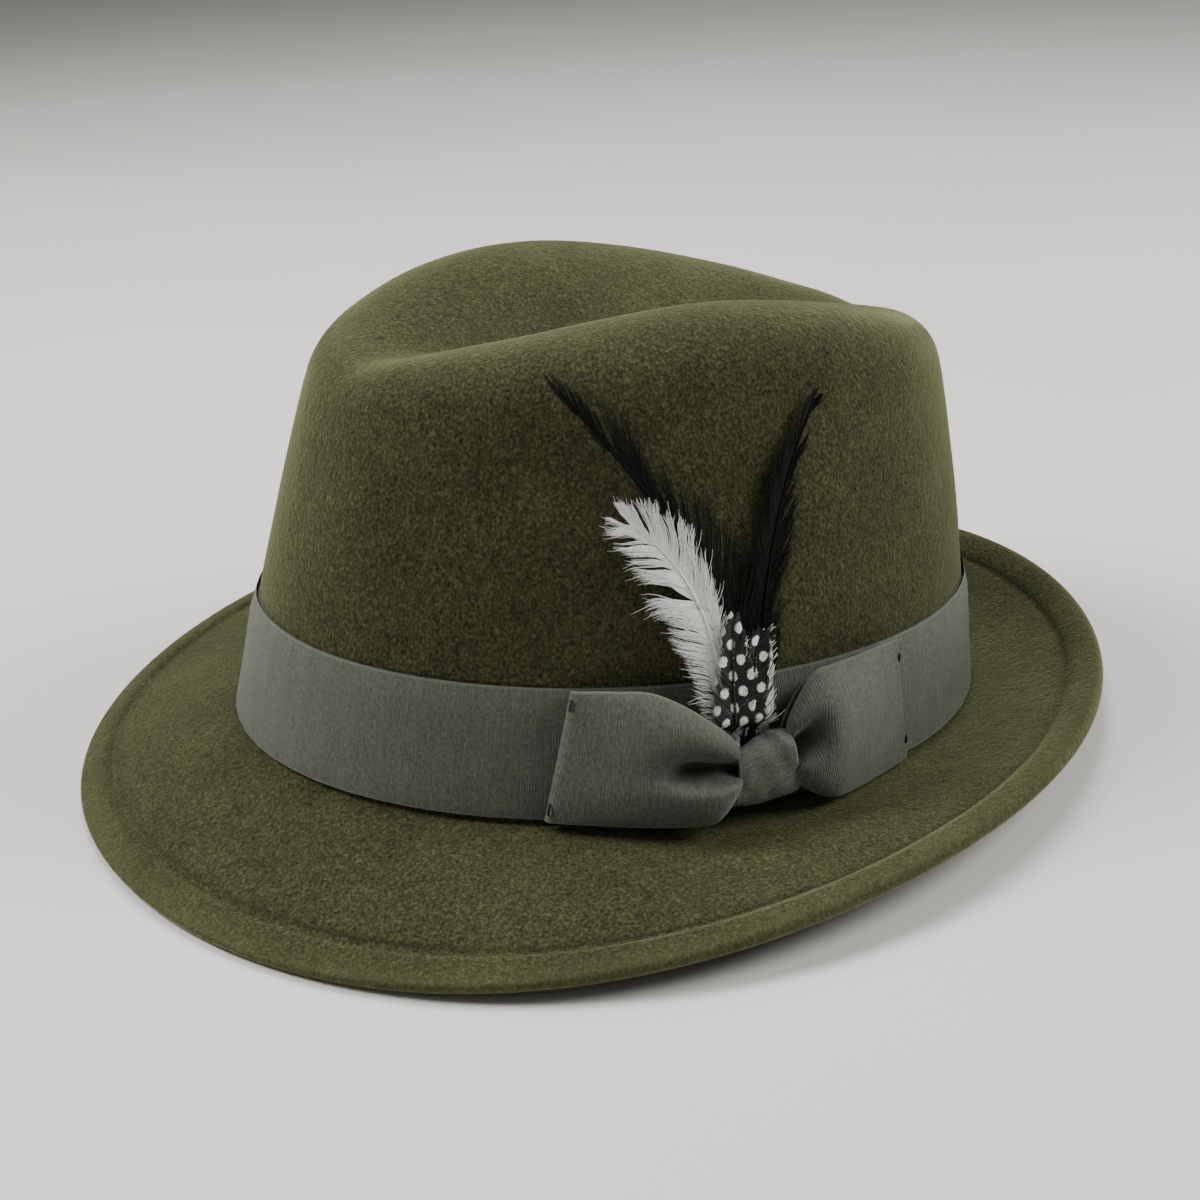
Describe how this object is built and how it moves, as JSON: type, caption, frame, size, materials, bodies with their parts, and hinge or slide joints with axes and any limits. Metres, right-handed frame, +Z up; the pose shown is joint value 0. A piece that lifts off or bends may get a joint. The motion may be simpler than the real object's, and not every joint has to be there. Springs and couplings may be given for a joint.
{
  "type": "short-brim felt trilby hat",
  "caption": "Short-brim felt trilby hat with a creased crown, ribbon band, flat bow and tucked feathers; open head hollow below.",
  "frame": {"origin": "middle of the hat's outline at the height of the surface that it rests on", "axes": "+Z up, -Y towards the front of the hat, +X towards the wearer's left, where the bow is"},
  "size_m": [0.2616, 0.2818, 0.1214],
  "materials": {
    "felt": "matte olive green wool felt",
    "ribbon": "ribbed grey-green grosgrain",
    "black_feather": "satin black",
    "white_feather": "soft white",
    "spotted_feather": "black with white dots"
  },
  "bodies": {
    "root": {"felt_body": "felt", "ribbon_band": "ribbon", "bow_loop": "ribbon", "bow_knot": "ribbon", "feather_black_back": "black_feather", "feather_black_front": "black_feather", "feather_white": "white_feather", "feather_spotted_back": "spotted_feather", "feather_spotted": "spotted_feather"}
  },
  "joints": []
}
